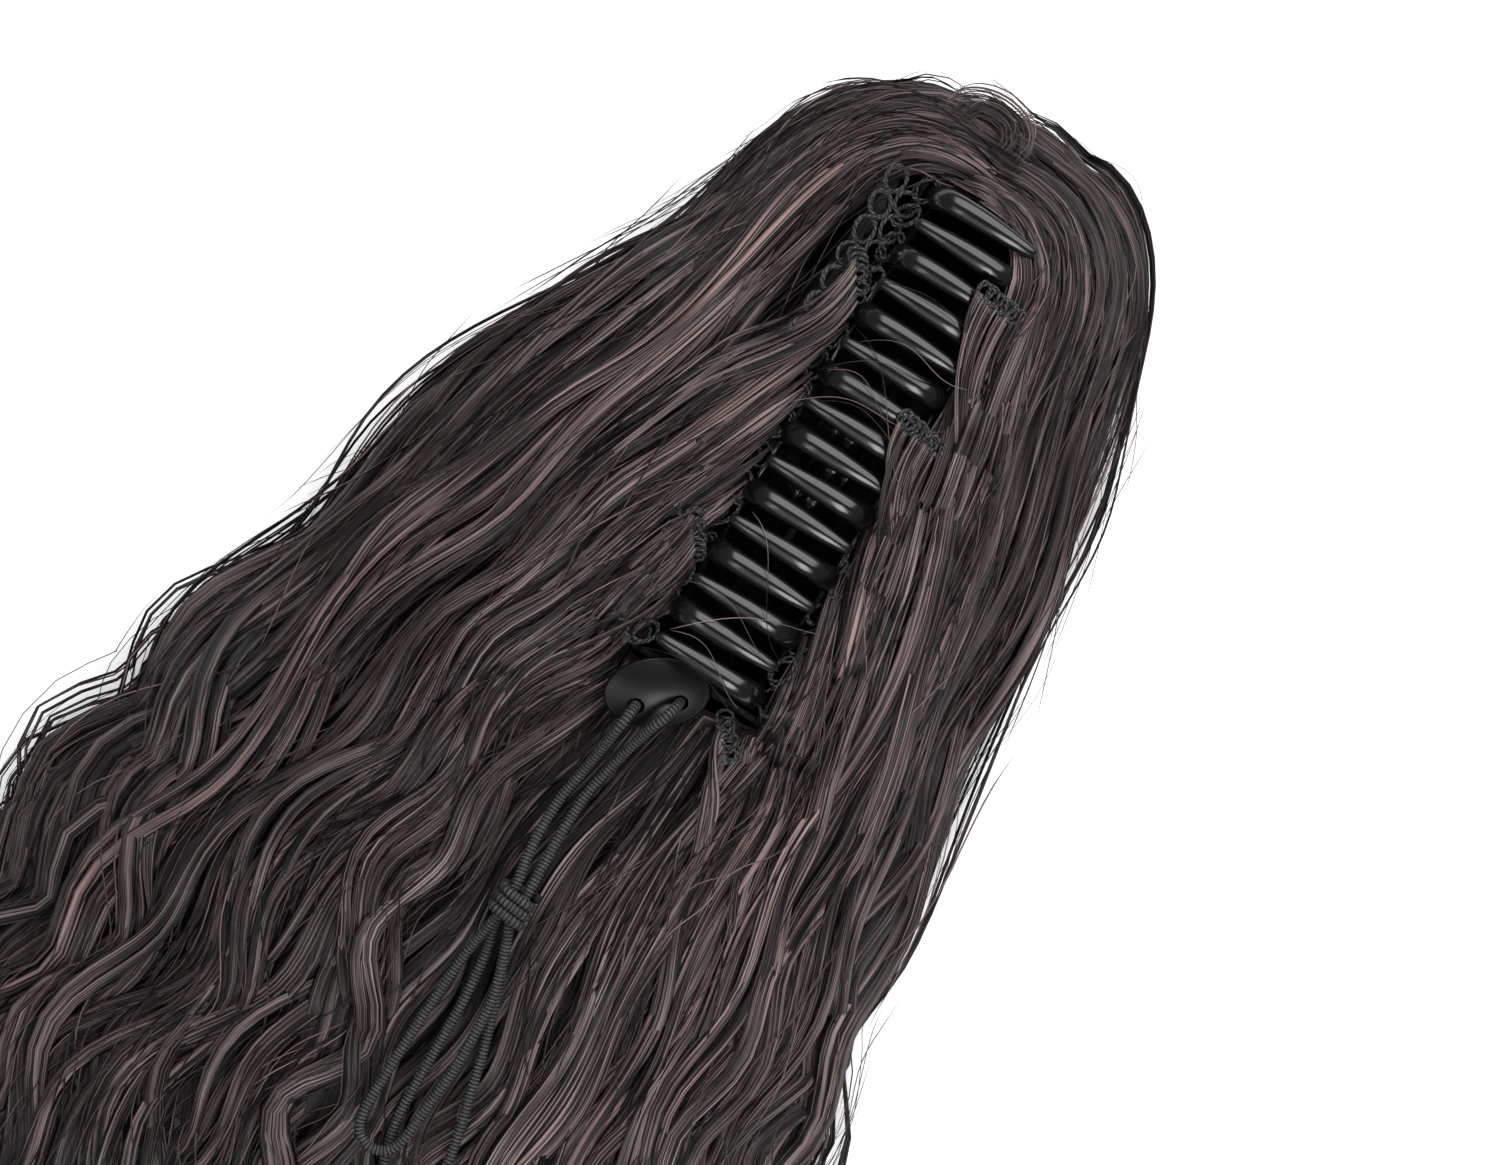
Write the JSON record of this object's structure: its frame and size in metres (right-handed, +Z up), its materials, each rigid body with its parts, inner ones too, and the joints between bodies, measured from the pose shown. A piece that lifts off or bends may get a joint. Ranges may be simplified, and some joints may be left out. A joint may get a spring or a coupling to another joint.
{
  "type": "clip-on ponytail hairpiece",
  "caption": "Wavy clip-on ponytail lying on its back: hair tresses sewn round a net that holds a toothed claw clip, with an elastic cord at the claw's lower end.",
  "frame": {"origin": "on the floor, under the middle of the hairpiece without its free cord", "axes": "+Z up from the floor, out through the claw's teeth; +Y along the claw to the crown, so the hair flows towards -Y; +X to the right seen from above"},
  "size_m": [0.2004, 0.495, 0.0524],
  "materials": {
    "hair": "dark brown synthetic fibre with a soft sheen",
    "claw_plastic": "glossy black",
    "net_thread": "matt black crochet thread",
    "cord_elastic": "matt black braid over elastic",
    "pin_steel": "plain steel wire"
  },
  "bodies": {
    "root": {"jaw_left": "claw_plastic", "jaw_right": "claw_plastic", "hinge_pin": "pin_steel", "net": "net_thread", "tress_left": "hair", "tress_right": "hair", "tress_end": "hair", "tress_under": "hair", "weft_band_right_upper": "net_thread", "weft_band_right_lower": "net_thread", "weft_band_left_upper": "net_thread", "weft_band_left_lower": "net_thread", "weft_band_end": "net_thread", "cord_plate": "claw_plastic", "cord_outer_loop": "cord_elastic", "cord_inner_loop": "cord_elastic", "cord_knot": "cord_elastic"}
  },
  "joints": []
}
